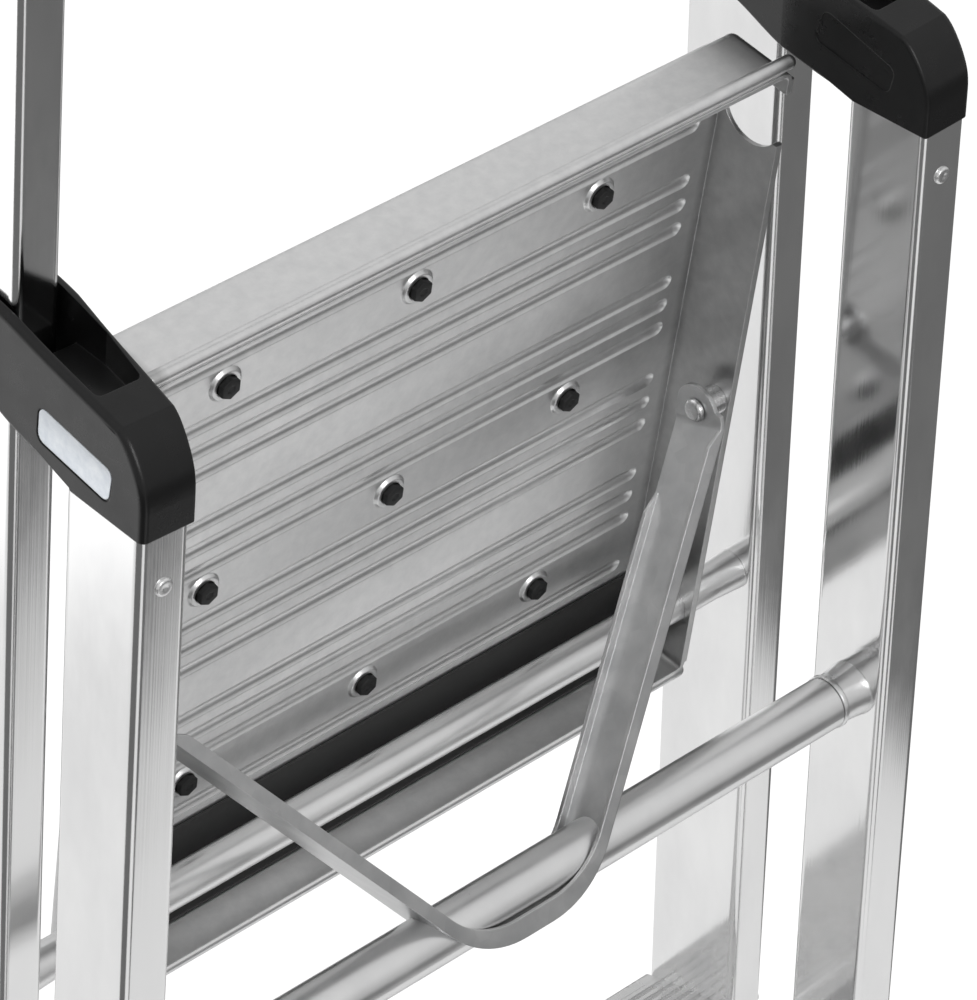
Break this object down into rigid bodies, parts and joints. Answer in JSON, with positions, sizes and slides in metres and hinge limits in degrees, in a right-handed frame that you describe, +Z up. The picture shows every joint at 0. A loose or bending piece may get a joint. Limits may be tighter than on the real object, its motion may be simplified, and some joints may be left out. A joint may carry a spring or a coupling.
{
  "type": "platform step ladder",
  "caption": "Freestanding folding step ladder with box-section rails, ridged treads, a pressed fold-down platform held by a stay, and hinge caps; stored folded.",
  "frame": {"origin": "on the floor under the middle of the folded ladder's box", "axes": "+X to the right of someone climbing, +Y to the rear, +Z up"},
  "size_m": [0.4244, 0.1061, 1.5589],
  "materials": {
    "aluminium": "satin mill finish",
    "zinc_steel": "galvanised",
    "black_plastic": "fine textured",
    "foot_rubber": "matt",
    "plug_rubber": "matt"
  },
  "bodies": {
    "front_frame": {"front_rail_left": "aluminium", "front_rail_right": "aluminium", "tread_upper": "aluminium", "tread_middle": "aluminium", "tread_lower": "aluminium", "tread_screws": "zinc_steel", "platform_pivot_tube": "aluminium", "guard_bar": "black_plastic", "guard_bar_screws": "zinc_steel", "front_foot_left": "foot_rubber", "front_foot_right": "foot_rubber", "hinge_pin_left": "zinc_steel", "hinge_pin_right": "zinc_steel"},
    "rear_frame": {"rear_rail_left": "aluminium", "rear_rail_right": "aluminium", "hinge_cap_left": "black_plastic", "hinge_cap_right": "black_plastic", "cap_rivets": "zinc_steel", "bar_collars": "aluminium", "rear_brace_upper": "aluminium", "rear_brace_lower": "aluminium", "rear_foot_left": "foot_rubber", "rear_foot_right": "foot_rubber"},
    "platform": {"platform_tray": "aluminium", "platform_plugs": "plug_rubber", "stay_spacers": "zinc_steel", "stay_rivets": "zinc_steel"},
    "stay": {"stay_bracket": "zinc_steel", "rear_bar": "aluminium"}
  },
  "joints": [
    {"name": "fold_hinge", "type": "hinge", "parent": "front_frame", "child": "rear_frame", "pos_m": [0, -0.03725, 1.14957], "axis": [1, 0, 0], "range_deg": [0, 36.3]},
    {"name": "platform_hinge", "type": "hinge", "parent": "front_frame", "child": "platform", "pos_m": [0, -0.0189, 0.9037], "axis": [-1, 0, 0], "range_deg": [0, 63.75]},
    {"name": "stay_hinge", "type": "hinge", "parent": "platform", "child": "stay", "pos_m": [0, -0.0066, 0.99691], "axis": [1, 0, 0], "range_deg": [0, 156.19]}
  ],
  "couplings": [
    {"joint": "platform_hinge", "follows": "fold_hinge", "ratio": 1.7548},
    {"joint": "stay_hinge", "follows": "fold_hinge", "ratio": 4.3014}
  ]
}
